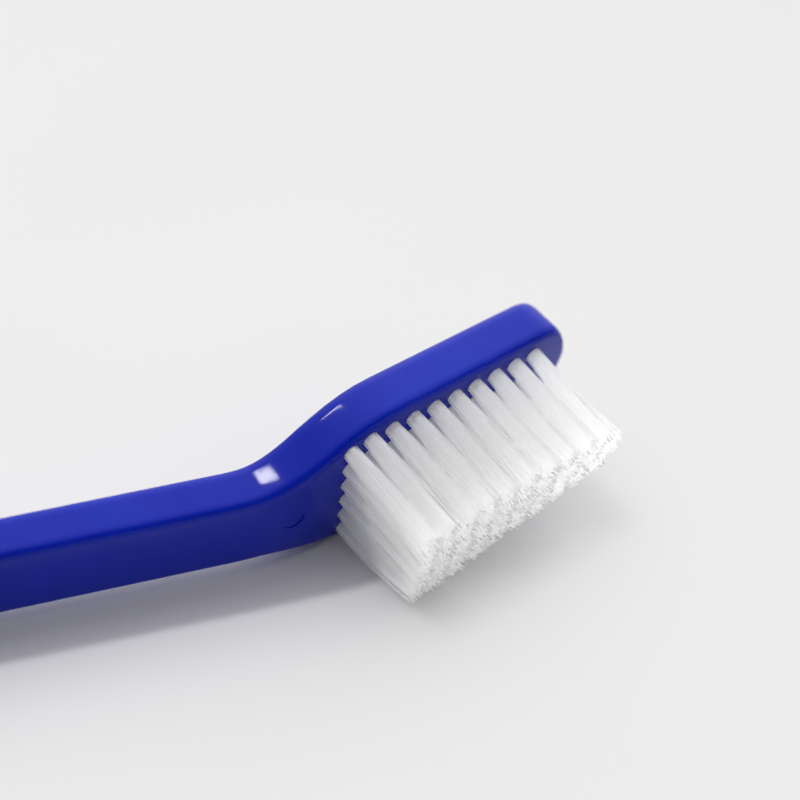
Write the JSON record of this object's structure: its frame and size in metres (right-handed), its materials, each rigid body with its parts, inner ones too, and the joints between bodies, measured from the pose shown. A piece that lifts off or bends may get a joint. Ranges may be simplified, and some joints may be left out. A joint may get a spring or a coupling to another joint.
{
  "type": "double-ended pet toothbrush",
  "caption": "Double-ended pet toothbrush: moulded plastic handle with a large and a small angled head, nylon tufts and metal anchors.",
  "frame": {"origin": "centre of the flat back of the grip", "axes": "+X along the grip towards the large head, +Y out of the flat back (the bristles point to -Y), +Z across the width, up as the brush lies on its edge"},
  "size_m": [0.2161, 0.025, 0.0152],
  "materials": {
    "handle_plastic": "glossy moulded royal-blue plastic",
    "bristle_nylon": "white translucent nylon filament",
    "anchor_metal": "plain nickel-silver strip"
  },
  "bodies": {
    "root": {"handle": "handle_plastic", "large_tufts_01": "bristle_nylon", "large_tufts_02": "bristle_nylon", "large_tufts_03": "bristle_nylon", "large_tufts_04": "bristle_nylon", "large_tufts_05": "bristle_nylon", "large_tufts_06": "bristle_nylon", "large_tufts_07": "bristle_nylon", "large_tufts_08": "bristle_nylon", "large_tufts_09": "bristle_nylon", "large_tufts_10": "bristle_nylon", "small_tufts_01": "bristle_nylon", "small_tufts_02": "bristle_nylon", "small_tufts_03": "bristle_nylon", "small_tufts_04": "bristle_nylon", "small_tufts_05": "bristle_nylon", "small_tufts_06": "bristle_nylon", "small_tufts_07": "bristle_nylon", "large_anchors_01": "anchor_metal", "large_anchors_02": "anchor_metal", "large_anchors_03": "anchor_metal", "large_anchors_04": "anchor_metal", "large_anchors_05": "anchor_metal", "large_anchors_06": "anchor_metal", "large_anchors_07": "anchor_metal", "large_anchors_08": "anchor_metal", "large_anchors_09": "anchor_metal", "large_anchors_10": "anchor_metal", "small_anchors_01": "anchor_metal", "small_anchors_02": "anchor_metal", "small_anchors_03": "anchor_metal", "small_anchors_04": "anchor_metal", "small_anchors_05": "anchor_metal", "small_anchors_06": "anchor_metal", "small_anchors_07": "anchor_metal"}
  },
  "joints": []
}
